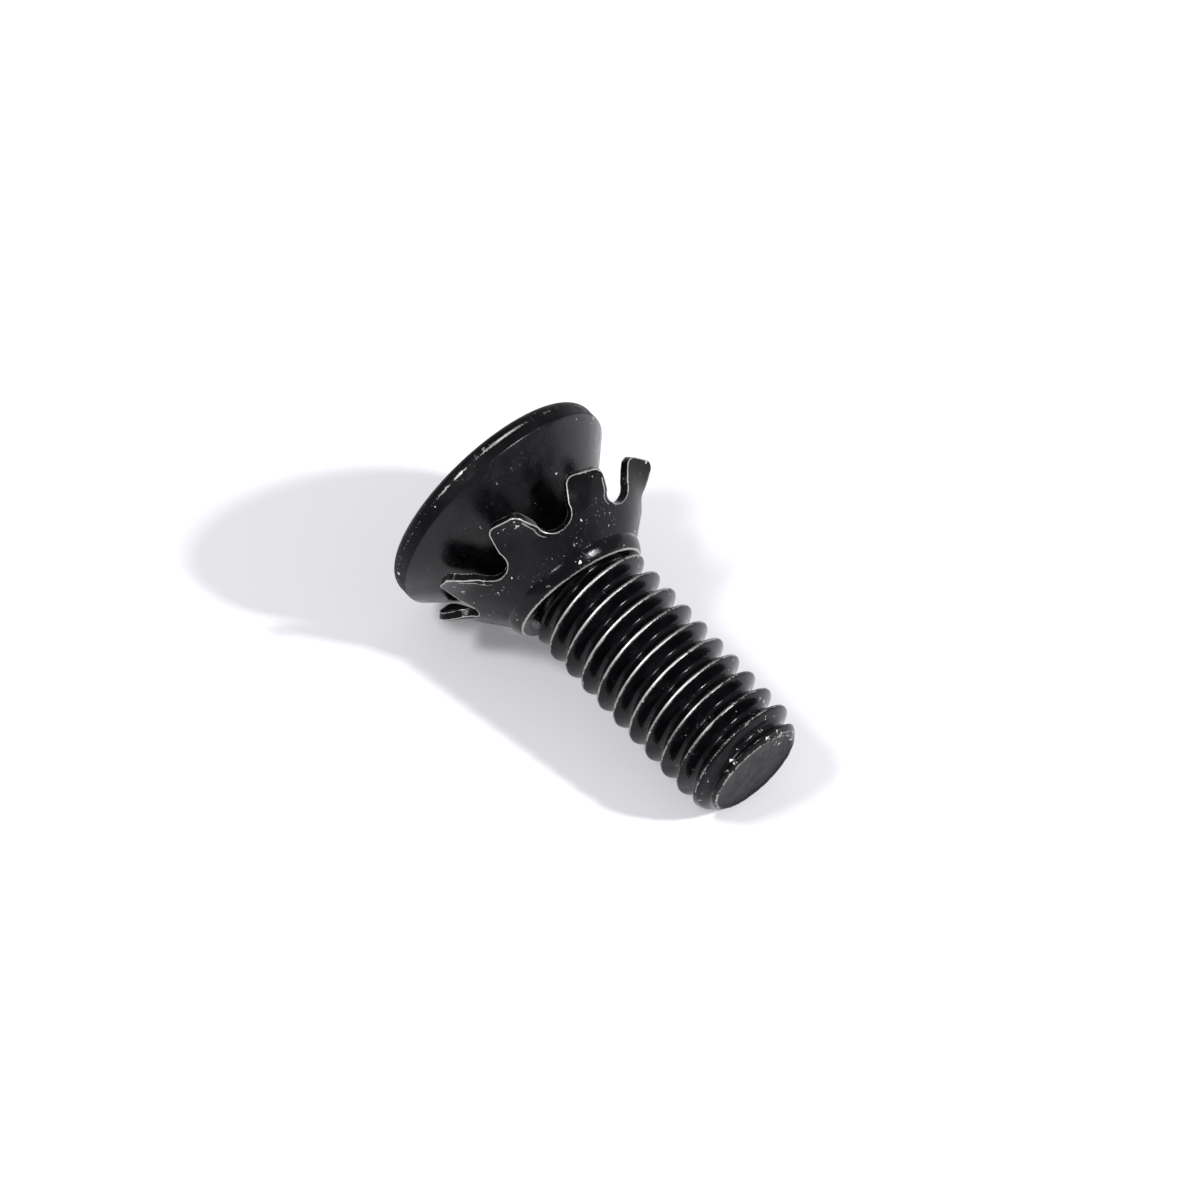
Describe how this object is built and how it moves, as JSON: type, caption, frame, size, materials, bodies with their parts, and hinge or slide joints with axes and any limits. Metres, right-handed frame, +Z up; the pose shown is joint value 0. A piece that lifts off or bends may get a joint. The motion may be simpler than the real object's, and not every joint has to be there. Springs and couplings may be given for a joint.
{
  "type": "countersunk screw with captive lock washer",
  "caption": "Black countersunk machine screw with a cross recess, a coarse metric thread and a loose conical toothed lock washer captive on its neck.",
  "frame": {"origin": "middle of the part's box in plan, on the surface that the part lies on", "axes": "+Z up, +X level, towards the thread's end"},
  "size_m": [0.0124, 0.0076, 0.0075],
  "materials": {
    "screw_black_oxide": "black oxide, lightly oiled, satin, worn bright on the thread crests and the rim",
    "washer_black_spring_steel": "black oxide on stamped spring steel, satin, worn bright on the cut edges"
  },
  "bodies": {
    "screw": {"countersunk_screw": "screw_black_oxide"},
    "washer": {"lock_washer": "washer_black_spring_steel"}
  },
  "joints": [
    {"name": "washer_spin", "type": "hinge", "parent": "screw", "child": "washer", "pos_m": [-0.00148, -0.00009, 0.00305], "axis": [-0.9522, 0.0964, 0.29], "continuous": true}
  ]
}
